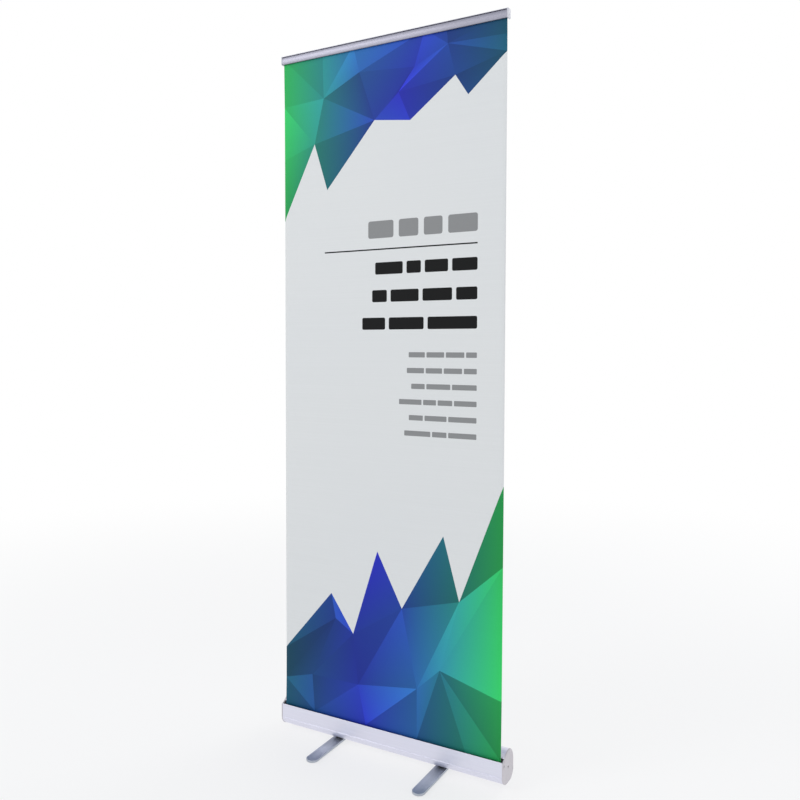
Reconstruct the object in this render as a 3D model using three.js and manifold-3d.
// Roll-up banner stand: a sprung roller in an aluminium cassette on two swinging feet, a printed
// banner, a clamping top rail, and a three-piece pole that holds the rail up from behind.
// Millimetres. X runs along the cassette, the front faces -Y, +Z is up, and the origin is on the
// floor midway between the two feet.

import * as THREE from 'three';
import { mergeVertices } from 'three/addons/utils/BufferGeometryUtils.js';
import Module from 'manifold-3d';

// ---- Driving dimensions ----------------------------------------------------------------------

const GAP = 0.3;                     // between pieces that touch
const RUNNING = 0.4;                 // between a piece and what it turns in or on

const bannerWidth = 730;
const bannerVisibleHeight = 2000;    // from the cassette's front lip to the underside of the rail
const bannerThickness = 0.6;
const bannerY = -28;                 // the plane that the banner hangs in
const bannerTuck = 16;               // how far the banner reaches up into the rail

const padThickness = 1.7;
const padRadius = 13;
const padFromTip = 20;
const footThickness = 7;
const footWidth = 37;
const footHalfLength = 171;
const footPivotX = 176;
const footSpacerThickness = 3.4;
const footSpacerRadius = 16;

const cassetteDepth = 76;
const cassetteWall = 1.8;
const cassetteEndMargin = 7;         // of aluminium past each edge of the banner
const lowerRadius = 28;              // where the front and back curve under
const lipHeight = 70;                // of the front lip above the cassette's underside
const shoulderHeight = 48;           // where the back starts to curve over the top
const crownHeight = 90;
const crownY = 8;
const browY = -12;                   // where the curve from the crown down to the front is pulled to
const coverEdgeY = -24;              // front edge of the top cover, the back of the slot
const coverEdgeHeight = 75.5;
const beadHeight = 26;               // of the raised line along the front
const beadRadius = 1.2;
const beadProud = 0.6;
const bossRadius = 3.2;

const capThickness = 4.2;
const capProud = 0.6;                // cap outline past the aluminium all round
const capRound = 2.5;
const bracketThickness = 5;          // of the black plates just inside the caps

const rollerY = -2;
const rollerHeight = 45;             // of the roller's axis above the cassette's underside
const tubeRadius = 15;
const tubeWall = 1.5;
const tubeEndMargin = 0.2;             // of roller past each edge of the banner
const tapeThickness = 0.3;
const rollThickness = 1;             // of the turns left on the roller
const plugLength = 22;
const plugRim = 0.8;
const axleRecess = 1.5;              // of the axle ends below the caps' outer faces
const idlePinRadius = 2.5;
const spindleRadius = 3;
const spindleReach = 180;            // from the end of the tube to the inner end of the spindle
const springRadius = 7;
const springWireRadius = 0.9;
const springTurns = 14;

const railHeight = 24;
const railDepth = 16.8;
const railFrontY = -35.8;
const railWall = 1.8;
const railEndMargin = 1.5;             // of aluminium past each edge of the banner
const railCapThickness = 3.7;
const grooveHeight = 12.5;             // of the groove along the back that the pole's tongue holds up
const jawHeight = 5;
const gripThickness = 1.2;

const poleRadius = 6;
const poleWall = 1;
const poleSections = 3;
const poleStandOff = 7.7;            // of the pole's axis behind the socket's flange
const poleHeadY = -10;
const socketFloorHeight = 13;        // above the cassette's underside
const socketDepth = 42;
const socketBossRadius = 10;
const flangeThickness = 4;
const flangeWidth = 40;
const flangeHeight = 40;
const ferruleLength = 80;
const cordRadius = 1.5;
const tongueReach = 14.8;            // from the pole's axis to the tip of the tongue
const tongueWidth = 22;
const tongueThickness = 5.2;

const boltRadius = 3;
const boltHeadRadius = 8;
const boltHeadHeight = 2.6;
const nutHeight = 5;
const nutAcrossCorners = 11.5;
const plateLength = 70;
const plateWidth = 26;
const plateThickness = 2.5;
const screwRadius = 1.2;
const screwHeadRadius = 3;
const screwHeadHeight = 1.8;
const socketScrewRadius = 1.7;
const socketScrewSpacing = 30;

// ---- Worked out from the above ---------------------------------------------------------------

const footBottom = padThickness + GAP;
const footTop = footBottom + footThickness;
const cassetteBottom = footTop + footSpacerThickness + 2 * GAP;
const cassetteFront = -cassetteDepth / 2;
const cassetteBack = cassetteDepth / 2;
const cassetteHalfLength = bannerWidth / 2 + cassetteEndMargin;
const lipZ = cassetteBottom + lipHeight;
const curveZ = cassetteBottom + lowerRadius;
const shoulderZ = cassetteBottom + shoulderHeight;
const crownZ = cassetteBottom + crownHeight;
const floorZ = cassetteBottom + cassetteWall;
const rollerZ = cassetteBottom + rollerHeight;
const poleFootY = cassetteBack + GAP + flangeThickness + poleStandOff;
const slotZ = lipZ - 2;              // where the hanging banner starts
const railZ = lipZ + bannerVisibleHeight;
const railTop = railZ + railHeight;
const railBackY = railFrontY + railDepth;
const railHalfLength = bannerWidth / 2 + railEndMargin;
const capInnerX = cassetteHalfLength + GAP;
const capOuterX = capInnerX + capThickness;
const tubeHalfLength = bannerWidth / 2 + tubeEndMargin;
const tubeBore = tubeRadius - tubeWall;
const rollInner = tubeRadius + tapeThickness + 2 * GAP;
const rollOuter = rollInner + rollThickness;

// The screws that hold the end caps run into round bosses inside the front and back walls.
const bossInset = cassetteWall + bossRadius - 0.6;
const bosses = [
  { name: 'front', y: cassetteFront + bossInset, z: lipZ - 11 },
  { name: 'rear', y: cassetteBack - bossInset, z: curveZ - 4 },
];

// ---- Solids ----------------------------------------------------------------------------------

const wasm = await Module();
wasm.setup();

function solidOf(geometry) {
  const bare = geometry.index ? geometry.clone() : geometry;
  bare.deleteAttribute('normal');
  bare.deleteAttribute('uv');
  const merged = mergeVertices(bare, 1e-4);
  return new wasm.Manifold(new wasm.Mesh({
    numProp: 3,
    vertProperties: new Float32Array(merged.attributes.position.array),
    triVerts: new Uint32Array(merged.index.array),
  }));
}

function geometryOf(solid) {
  const mesh = solid.getMesh();
  const geometry = new THREE.BufferGeometry();
  geometry.setAttribute('position', new THREE.BufferAttribute(mesh.vertProperties, 3));
  geometry.setIndex(new THREE.BufferAttribute(mesh.triVerts, 1));
  geometry.computeVertexNormals();
  return geometry;
}

const joined = (first, ...rest) => rest.reduce((whole, piece) => whole.add(piece), first);
const cut = (first, ...rest) => rest.reduce((whole, piece) => whole.subtract(piece), first);

function block(x0, x1, y0, y1, z0, z1) {
  const geometry = new THREE.BoxGeometry(x1 - x0, y1 - y0, z1 - z0);
  geometry.translate((x0 + x1) / 2, (y0 + y1) / 2, (z0 + z1) / 2);
  return solidOf(geometry);
}

// A round bar along X, Y or Z. centre holds the two coordinates across the axis, in X, Y, Z order.
function bar(axis, radius, from, to, centre = [0, 0], sides = 32) {
  const geometry = new THREE.CylinderGeometry(radius, radius, to - from, sides);
  geometry.translate(0, (from + to) / 2, 0);
  const [a, b] = centre;
  if (axis === 'x') geometry.rotateZ(-Math.PI / 2).translate(0, a, b);
  if (axis === 'y') geometry.translate(a, 0, b);
  if (axis === 'z') geometry.rotateX(Math.PI / 2).translate(a, b, 0);
  return solidOf(geometry);
}

const ring = (axis, outer, inner, from, to, centre, sides) => (
  bar(axis, outer, from, to, centre, sides).subtract(bar(axis, inner, from - 1, to + 1, centre, sides))
);

// An outline in Y and Z, drawn as x and y of a Shape, extruded along X.
const sectionToWorld = new THREE.Matrix4().makeBasis(
  new THREE.Vector3(0, 1, 0), new THREE.Vector3(0, 0, 1), new THREE.Vector3(1, 0, 0),
);

function alongX(shape, x0, x1, bevel = 0) {
  const geometry = new THREE.ExtrudeGeometry(shape, {
    depth: x1 - x0 - 2 * bevel,
    curveSegments: 6,
    bevelEnabled: bevel > 0,
    bevelThickness: bevel,
    bevelSize: bevel,
    bevelOffset: -bevel,
    bevelSegments: 3,
  });
  geometry.translate(0, 0, x0 + bevel);
  geometry.applyMatrix4(sectionToWorld);
  return solidOf(geometry);
}

// A wall of even thickness whose outer face follows the points; the wall lies to their left.
function wallShape(points, thickness) {
  const offset = points.map((point, i) => {
    const before = points[Math.max(i - 1, 0)];
    const after = points[Math.min(i + 1, points.length - 1)];
    const inward = new THREE.Vector2().subVectors(point, before).normalize();
    const onward = new THREE.Vector2().subVectors(after, point).normalize();
    if (i === 0) inward.copy(onward);
    if (i === points.length - 1) onward.copy(inward);
    const middle = inward.clone().add(onward).normalize();
    const reach = thickness / Math.max(middle.dot(inward), 0.5);
    return new THREE.Vector2(point.x - middle.y * reach, point.y + middle.x * reach);
  });
  return new THREE.Shape([...points, ...offset.reverse()]);
}

function withoutRepeats(points) {
  return points.filter((point, i) => i === 0 || point.distanceTo(points[i - 1]) > 1e-3);
}

// ---- Group and materials ---------------------------------------------------------------------

const stand = new THREE.Group();

const finish = (color, roughness, metalness) => (
  () => new THREE.MeshStandardMaterial({ color, roughness, metalness })
);
const anodised = finish(0xd4d4de, 0.35, 0.9);
const railAluminium = finish(0xc8c8d2, 0.35, 0.9);
const footAluminium = finish(0x9aa4b0, 0.4, 0.9);
const capPlastic = finish(0xc6c4c8, 0.5, 0);
const blackPlastic = finish(0x18181a, 0.55, 0);
const greyPlastic = finish(0x55585c, 0.5, 0);
const steel = finish(0xa0a2a6, 0.35, 1);
const springSteel = finish(0x6a6c70, 0.4, 1);
const rubber = finish(0x202022, 0.9, 0);
const print = finish(0xd9dcde, 0.6, 0);
const tape = finish(0xe8e4d0, 0.7, 0);
const elastic = finish(0xe4e4e0, 0.9, 0);

function place(name, solid, material, parent = stand) {
  const mesh = new THREE.Mesh(geometryOf(solid), material());
  mesh.name = name;
  parent.add(mesh);
}

const sides = [{ name: 'left', sign: -1 }, { name: 'right', sign: 1 }];

// ---- Cassette --------------------------------------------------------------------------------

// The extrusion's outer face, from the top of the front lip, under the base and over the back to
// the front edge of the top cover.
function cassettePoints() {
  const path = new THREE.Path();
  path.moveTo(cassetteFront, lipZ);
  path.lineTo(cassetteFront, curveZ);
  path.absarc(cassetteFront + lowerRadius, curveZ, lowerRadius, Math.PI, 1.5 * Math.PI, false);
  path.lineTo(cassetteBack - lowerRadius, cassetteBottom);
  path.absarc(cassetteBack - lowerRadius, curveZ, lowerRadius, -0.5 * Math.PI, 0, false);
  path.lineTo(cassetteBack, shoulderZ);
  path.absellipse(crownY, shoulderZ, cassetteBack - crownY, crownZ - shoulderZ, 0, Math.PI / 2, false);
  path.quadraticCurveTo(browY, crownZ - 1, coverEdgeY, cassetteBottom + coverEdgeHeight);
  return withoutRepeats(path.getPoints(6));
}

// The closed outline of an end cap or bracket, inset from the cassette's outer face. It closes the
// slot's end with a slope from the lip up to the cover's edge.
function endOutline(inset) {
  const front = cassetteFront + inset;
  const back = cassetteBack - inset;
  const radius = lowerRadius - inset;
  const shape = new THREE.Shape();
  shape.moveTo(front, curveZ);
  shape.absarc(cassetteFront + lowerRadius, curveZ, radius, Math.PI, 1.5 * Math.PI, false);
  shape.lineTo(cassetteBack - lowerRadius, cassetteBottom + inset);
  shape.absarc(cassetteBack - lowerRadius, curveZ, radius, -0.5 * Math.PI, 0, false);
  shape.lineTo(back, shoulderZ);
  shape.absellipse(crownY, shoulderZ, back - crownY, crownZ - inset - shoulderZ, 0, Math.PI / 2, false);
  const slopeInset = 1.3 * inset;
  shape.quadraticCurveTo(browY, crownZ - 1 - slopeInset, coverEdgeY,
    cassetteBottom + coverEdgeHeight - slopeInset);
  shape.lineTo(front, lipZ - 2 - slopeInset);
  shape.closePath();
  return shape;
}

function cassetteShell() {
  const body = alongX(wallShape(cassettePoints(), cassetteWall), -cassetteHalfLength, cassetteHalfLength);
  const beadSine = (curveZ - cassetteBottom - beadHeight) / lowerRadius;
  const beadReach = lowerRadius + beadProud - beadRadius;
  const bead = bar('x', beadRadius, -cassetteHalfLength, cassetteHalfLength, [
    cassetteFront + lowerRadius - beadReach * Math.sqrt(1 - beadSine ** 2),
    curveZ - beadReach * beadSine,
  ], 12);
  const whole = joined(body, bead, ...bosses.map(({ y, z }) => (
    bar('x', bossRadius, -cassetteHalfLength, cassetteHalfLength, [y, z], 16)
  )));
  const boltHoles = sides.map(({ sign }) => (
    bar('z', boltRadius + RUNNING, cassetteBottom - 1, floorZ + 1, [sign * footPivotX, 0], 24)
  ));
  const socketHoles = sides.map(({ sign }) => (
    bar('y', socketScrewRadius + GAP, cassetteBack - 4, cassetteBack + 1,
      [sign * socketScrewSpacing / 2, socketScrewZ], 16)
  ));
  const screwHoles = bosses.map(({ y, z }) => (
    bar('x', screwRadius + GAP, -cassetteHalfLength - 1, cassetteHalfLength + 1, [y, z], 12)
  ));
  return cut(whole, ...boltHoles, ...socketHoles, ...screwHoles);
}

function mirroredX(solid, sign) {
  return sign > 0 ? solid : solid.mirror([1, 0, 0]);
}

function endCap(sign, axleRadius) {
  const outside = alongX(endOutline(-capProud), capInnerX - capRound, capOuterX, capRound);
  const trim = block(0, capInnerX, cassetteFront - 9, cassetteBack + 9, 0, crownZ + 9);
  const axleHole = bar('x', axleRadius + RUNNING, capInnerX - 1, capOuterX + 1,
    [rollerY, rollerZ], 24);
  const screwHoles = bosses.map(({ y, z }) => joined(
    bar('x', screwRadius + GAP, capInnerX - 1, capOuterX + 1, [y, z], 12),
    bar('x', screwHeadRadius + GAP, capOuterX - screwHeadHeight - GAP, capOuterX + 1, [y, z], 20),
  ));
  return mirroredX(cut(outside, trim, axleHole, ...screwHoles), sign);
}

// The plate fills the end of the extrusion, clears its screw bosses and carries the roller's axle.
function axleBracket(sign, axleRadius) {
  const from = cassetteHalfLength - bracketThickness;
  const plate = alongX(endOutline(cassetteWall + GAP), from, cassetteHalfLength);
  const axleHole = bar('x', axleRadius + GAP, from - 1, capInnerX, [rollerY, rollerZ], 24);
  const bossRooms = bosses.map(({ y, z }) => (
    bar('x', bossRadius + GAP, from - 1, capInnerX, [y, z], 16)
  ));
  return mirroredX(cut(plate, axleHole, ...bossRooms), sign);
}

function capScrew(sign, { y, z }) {
  const head = bar('x', screwHeadRadius, capOuterX - screwHeadHeight, capOuterX, [y, z], 20);
  const shank = bar('x', screwRadius, cassetteHalfLength - 12, capOuterX - 1, [y, z], 10);
  const slot = block(capOuterX - 0.8, capOuterX + 1, y - 2.2, y + 2.2, z - 0.4, z + 0.4);
  return mirroredX(cut(joined(head, shank), slot), sign);
}

// ---- Pole axis and socket --------------------------------------------------------------------

const socketFloorZ = cassetteBottom + socketFloorHeight;
const socketScrewZ = (curveZ + shoulderZ) / 2;
const grooveRoofZ = railZ + grooveHeight;
const poleLean = Math.atan2(poleFootY - poleHeadY, grooveRoofZ - socketFloorZ);
const poleLength = (grooveRoofZ - GAP / 2 - socketFloorZ) / Math.cos(poleLean);

// Everything on the pole's own leaning axis sits in this group, with its Z along the pole.
const poleGroup = new THREE.Group();
poleGroup.position.set(0, poleFootY, socketFloorZ);
poleGroup.rotation.x = poleLean;
stand.add(poleGroup);

function onPoleAxis(solid) {
  return solid.rotate([THREE.MathUtils.radToDeg(poleLean), 0, 0]).translate([0, poleFootY, socketFloorZ]);
}

function poleSocket() {
  const middleZ = socketFloorZ + socketDepth / 2;
  const near = cassetteBack + GAP;
  const flange = block(-flangeWidth / 2, flangeWidth / 2, near, near + flangeThickness,
    middleZ - flangeHeight / 2, middleZ + flangeHeight / 2);
  const boss = onPoleAxis(bar('z', socketBossRadius, -4, socketDepth, [0, 0], 40));
  const bore = onPoleAxis(bar('z', poleRadius + RUNNING, 0, socketDepth + 5, [0, 0], 32));
  const screwHoles = sides.map(({ sign }) => bar('y', socketScrewRadius + GAP, near - 1,
    near + flangeThickness + 1, [sign * socketScrewSpacing / 2, socketScrewZ], 16));
  return cut(joined(flange, boss), bore, ...screwHoles);
}

function socketScrew(sign) {
  const centre = [sign * socketScrewSpacing / 2, socketScrewZ];
  const seat = cassetteBack + GAP + flangeThickness + GAP;
  return joined(
    bar('y', screwHeadRadius, seat, seat + screwHeadHeight, centre, 20),
    bar('y', socketScrewRadius, cassetteBack - 8, seat + 1, centre, 12),
  );
}

// ---- Feet ------------------------------------------------------------------------------------

function footBar(x) {
  const half = footHalfLength - footWidth / 2;
  const radius = footWidth / 2;
  const edge = 1;
  const outline = new THREE.Shape();
  outline.moveTo(radius, -half);
  outline.lineTo(radius, half);
  outline.absarc(0, half, radius, 0, Math.PI, false);
  outline.lineTo(-radius, -half);
  outline.absarc(0, -half, radius, Math.PI, 2 * Math.PI, false);
  const geometry = new THREE.ExtrudeGeometry(outline, {
    depth: footThickness - 2 * edge,
    curveSegments: 10,
    bevelThickness: edge,
    bevelSize: edge,
    bevelOffset: -edge,
    bevelSegments: 2,
  });
  geometry.translate(x, 0, footBottom + edge);
  const hole = bar('z', boltRadius + RUNNING, 0, footTop + 1, [x, 0], 24);
  const headRoom = footBottom + boltHeadHeight + 2 * RUNNING;
  const recess = bar('z', boltHeadRadius + RUNNING, 0, headRoom, [x, 0], 32);
  return cut(solidOf(geometry), hole, recess);
}

function footBolt(x) {
  const headBottom = footBottom + RUNNING;
  const top = plateTop + GAP + nutHeight + 1;
  return joined(
    bar('z', boltHeadRadius, headBottom, headBottom + boltHeadHeight, [x, 0], 32),
    bar('z', boltRadius, headBottom + 1, top, [x, 0], 20),
  );
}

const plateBottom = floorZ + GAP;
const plateTop = plateBottom + plateThickness;

function footPlate(x) {
  return cut(
    block(x - plateLength / 2, x + plateLength / 2, -plateWidth / 2, plateWidth / 2, plateBottom, plateTop),
    bar('z', boltRadius + RUNNING, plateBottom - 1, plateTop + 1, [x, 0], 20),
  );
}

function footNut(x) {
  const from = plateTop + GAP;
  return cut(
    bar('z', nutAcrossCorners / 2, from, from + nutHeight, [x, 0], 6),
    bar('z', boltRadius + GAP, from - 1, from + nutHeight + 1, [x, 0], 20),
  );
}

// ---- Roller ----------------------------------------------------------------------------------

const rollerCentre = [rollerY, rollerZ];

function rollerPlug(sign, bore) {
  const end = tubeHalfLength + GAP;
  const stem = bar('x', tubeBore - GAP, tubeHalfLength - plugLength, end, rollerCentre, 28);
  const rim = bar('x', tubeRadius, end, end + plugRim, rollerCentre, 28);
  const hole = bar('x', bore, 0, end + 3, rollerCentre, 24);
  return mirroredX(cut(joined(stem, rim), hole), sign);
}

// The winding spring is a round wire on a helix about the spindle.
class Helix extends THREE.Curve {
  getPoint(t) {
    const angle = t * springTurns * 2 * Math.PI;
    return new THREE.Vector3(
      springStart + t * (springEnd - springStart),
      rollerY + springRadius * Math.cos(angle),
      rollerZ + springRadius * Math.sin(angle),
    );
  }
}

const anchorLength = 24;
const collarLength = 6;
const spindleTipX = tubeHalfLength - spindleReach;
const collarX = tubeHalfLength - plugLength - 4;
const springStart = spindleTipX + springWireRadius + GAP;
const springEnd = collarX - collarLength - springWireRadius - GAP;

function windingSpring() {
  const wire = new THREE.Shape();
  wire.absarc(0, 0, springWireRadius, 0, 2 * Math.PI, false);
  return solidOf(new THREE.ExtrudeGeometry(wire, {
    steps: springTurns * 10,
    curveSegments: 3,
    bevelEnabled: false,
    extrudePath: new Helix(),
  }));
}

function spindle() {
  return bar('x', spindleRadius, spindleTipX, capOuterX - axleRecess, rollerCentre, 20);
}

function idlePin() {
  return bar('x', idlePinRadius, axleRecess - capOuterX, plugLength - 4 - tubeHalfLength, rollerCentre,
    20);
}

// The strip of double-sided tape that holds the banner to the tube.
function rollerTape() {
  const strip = ring('x', tubeRadius + GAP + tapeThickness, tubeRadius + GAP, -tubeHalfLength + 2,
    tubeHalfLength - 2, rollerCentre, 60);
  const keep = block(-tubeHalfLength, tubeHalfLength, rollerY - 6, rollerY + 6, rollerZ - 20, rollerZ);
  return strip.intersect(keep);
}

// The banner between the roller, which it leaves at the front, and the slot.
function bannerFeed() {
  const top = new THREE.Vector2(bannerY, slotZ - GAP);
  const centre = new THREE.Vector2(rollerY, rollerZ);
  const reach = rollOuter + GAP + bannerThickness / 2;
  const toTop = new THREE.Vector2().subVectors(top, centre);
  const swing = Math.acos(reach / toTop.length());
  const touch = toTop.clone().rotateAround(new THREE.Vector2(), swing).setLength(reach).add(centre);
  const across = new THREE.Vector2().subVectors(top, touch).normalize();
  const half = new THREE.Vector2(-across.y, across.x).multiplyScalar(bannerThickness / 2);
  const outline = new THREE.Shape([
    touch.clone().sub(half), top.clone().sub(half), top.clone().add(half), touch.clone().add(half),
  ]);
  return alongX(outline, -bannerWidth / 2, bannerWidth / 2);
}

// ---- Top rail --------------------------------------------------------------------------------

const bannerBackY = bannerY + bannerThickness / 2;
const bannerFrontY = bannerY - bannerThickness / 2;
const plateFrontY = bannerBackY + GAP;                  // the wall behind the banner's top edge
const hingeY = railFrontY + 2.6;
const hingeZ = railTop - railWall - GAP - 2.3;
const knuckleRadius = 2;

function railProfile() {
  const x0 = -railHalfLength;
  const x1 = railHalfLength;
  const roof = grooveRoofZ + railWall;
  return joined(
    block(x0, x1, plateFrontY, plateFrontY + railWall, railZ, railTop),
    block(x0, x1, railFrontY, railBackY, railTop - railWall, railTop),
    block(x0, x1, plateFrontY, railBackY, grooveRoofZ, roof),
    block(x0, x1, railBackY - railWall, railBackY, grooveRoofZ, railTop),
  );
}

function railClamp() {
  const x0 = -railHalfLength + GAP;
  const x1 = railHalfLength - GAP;
  const jawTip = bannerFrontY - 2 * GAP - gripThickness;
  return joined(
    block(x0, x1, railFrontY, railFrontY + railWall, railZ, hingeZ),
    bar('x', knuckleRadius, x0, x1, [hingeY, hingeZ], 20),
    block(x0, x1, railFrontY, jawTip, railZ, railZ + jawHeight),
  );
}

function clampGrip() {
  const back = bannerFrontY - GAP;
  return block(-railHalfLength + 1, railHalfLength - 1, back - gripThickness, back,
    railZ + 0.6, railZ + jawHeight - 0.6);
}

function railCap(sign) {
  const inner = railHalfLength + GAP;
  const edge = 0.6;
  const outline = new THREE.Shape();
  const [y0, y1] = [railFrontY - edge, railBackY + edge];
  const [z0, z1] = [railZ - edge, railTop + edge];
  const round = 2;
  outline.moveTo(y0 + round, z0);
  outline.lineTo(y1 - round, z0);
  outline.absarc(y1 - round, z0 + round, round, -Math.PI / 2, 0, false);
  outline.lineTo(y1, z1 - round);
  outline.absarc(y1 - round, z1 - round, round, 0, Math.PI / 2, false);
  outline.lineTo(y0 + round, z1);
  outline.absarc(y0 + round, z1 - round, round, Math.PI / 2, Math.PI, false);
  outline.lineTo(y0, z0 + round);
  outline.absarc(y0 + round, z0 + round, round, Math.PI, 1.5 * Math.PI, false);
  const plate = alongX(outline, inner - 2, inner + railCapThickness, 1.2);
  const trim = block(0, inner, y0 - 5, y1 + 5, z0 - 5, z1 + 5);
  const spigot = block(inner - 8, inner + 1,
    plateFrontY + railWall + GAP, railBackY - railWall - GAP,
    grooveRoofZ + railWall + GAP, railTop - railWall - GAP);
  return mirroredX(joined(cut(plate, trim), spigot), sign);
}

// ---- Pole ------------------------------------------------------------------------------------

const poleBore = poleRadius - poleWall;
const plugFlange = 3;
const headHeight = 18;
const tubesStart = plugFlange + 2 * GAP;
const tubesEnd = poleLength - headHeight - GAP;
const tubeStep = (tubesEnd - tubesStart + GAP) / poleSections;
const headPlugLength = 20;

function poleTube(index) {
  const from = tubesStart + index * tubeStep;
  return ring('z', poleRadius, poleBore, from, from + tubeStep - GAP, [0, 0], 28);
}

function ferrule(index) {
  const middle = tubesStart + (index + 1) * tubeStep - GAP / 2;
  return ring('z', poleBore - GAP, cordRadius + 2 * GAP, middle - ferruleLength / 2,
    middle + ferruleLength / 2, [0, 0], 20);
}

function polePlug() {
  return joined(
    bar('z', poleRadius, GAP, GAP + plugFlange, [0, 0], 28),
    bar('z', poleBore - GAP, GAP, tubesStart + headPlugLength, [0, 0], 20),
  );
}

function shockCord() {
  return bar('z', cordRadius, tubesStart + headPlugLength + GAP, tubesEnd - headPlugLength - GAP,
    [0, 0], 10);
}

// The head's tongue reaches forward under the roof of the groove along the back of the rail. Its
// tip is round about the pole's axis, so that the pole can be turned to swing it out.
function poleHead() {
  const collar = bar('z', poleRadius + 1, poleLength - headHeight, poleLength, [0, 0], 28);
  const plug = bar('z', poleBore - GAP, tubesEnd - headPlugLength, poleLength - 1, [0, 0], 20);
  const tongue = block(-tongueWidth / 2, tongueWidth / 2, -tongueReach, 0,
    poleLength - tongueThickness, poleLength);
  const tip = bar('z', tongueReach, poleLength - tongueThickness - 1, poleLength + 1, [0, 0], 60);
  return joined(collar, plug, tongue.intersect(tip));
}

// ---- Assembly --------------------------------------------------------------------------------

place('cassette_shell', cassetteShell(), anodised);
place('spring_spindle', spindle(), steel);
place('idle_axle_pin', idlePin(), steel);
place('spindle_collar', ring('x', springRadius + 2, spindleRadius + GAP, collarX - collarLength,
  collarX, rollerCentre, 24), steel);
place('pole_socket', poleSocket(), greyPlastic);
place('banner_feed', bannerFeed(), print);
place('banner_panel', block(-bannerWidth / 2, bannerWidth / 2, bannerFrontY, bannerBackY, slotZ,
  railZ + bannerTuck), print);

for (const { name, sign } of sides) {
  const x = sign * footPivotX;
  const axleRadius = sign > 0 ? spindleRadius : idlePinRadius;
  place(`end_cap_${name}`, endCap(sign, axleRadius), capPlastic);
  place(`axle_bracket_${name}`, axleBracket(sign, axleRadius), blackPlastic);
  for (const boss of bosses) {
    place(`end_cap_screw_${name}_${boss.name}`, capScrew(sign, boss), steel);
  }
  place(`socket_screw_${name}`, socketScrew(sign), steel);
  place(`foot_${name}`, footBar(x), footAluminium);
  place(`foot_bolt_${name}`, footBolt(x), steel);
  place(`foot_spacer_${name}`, ring('z', footSpacerRadius, boltRadius + RUNNING, footTop + GAP,
    cassetteBottom - GAP, [x, 0], 32), blackPlastic);
  place(`foot_plate_${name}`, footPlate(x), steel);
  place(`foot_nut_${name}`, footNut(x), steel);
  for (const [end, ySign] of [['front', -1], ['rear', 1]]) {
    place(`foot_pad_${name}_${end}`, bar('z', padRadius, 0, padThickness,
      [x, ySign * (footHalfLength - padFromTip)], 32), rubber);
  }
  place(`rail_end_cap_${name}`, railCap(sign), capPlastic);
}

place('roller_tube', ring('x', tubeRadius, tubeBore, -tubeHalfLength, tubeHalfLength, rollerCentre,
  36), anodised);
place('idle_end_plug', rollerPlug(-1, idlePinRadius + RUNNING), greyPlastic);
place('spring_end_plug', rollerPlug(1, spindleRadius + RUNNING), greyPlastic);
place('spring_anchor_plug', bar('x', tubeBore - GAP, spindleTipX - GAP - anchorLength,
  spindleTipX - GAP, rollerCentre, 28), greyPlastic);
place('winding_spring', windingSpring(), springSteel);
place('roller_tape', rollerTape(), tape);
place('banner_roll', ring('x', rollOuter, rollInner, -bannerWidth / 2, bannerWidth / 2,
  rollerCentre, 40), print);

place('rail_profile', railProfile(), railAluminium);
place('rail_clamp', railClamp(), railAluminium);
place('rail_clamp_grip', clampGrip(), rubber);

['lower', 'middle', 'upper'].forEach((name, index) => {
  place(`pole_tube_${name}`, poleTube(index), anodised, poleGroup);
});
['lower', 'upper'].forEach((name, index) => {
  place(`pole_ferrule_${name}`, ferrule(index), greyPlastic, poleGroup);
});
place('pole_foot_plug', polePlug(), blackPlastic, poleGroup);
place('pole_shock_cord', shockCord(), elastic, poleGroup);
place('pole_head', poleHead(), blackPlastic, poleGroup);

export default stand;
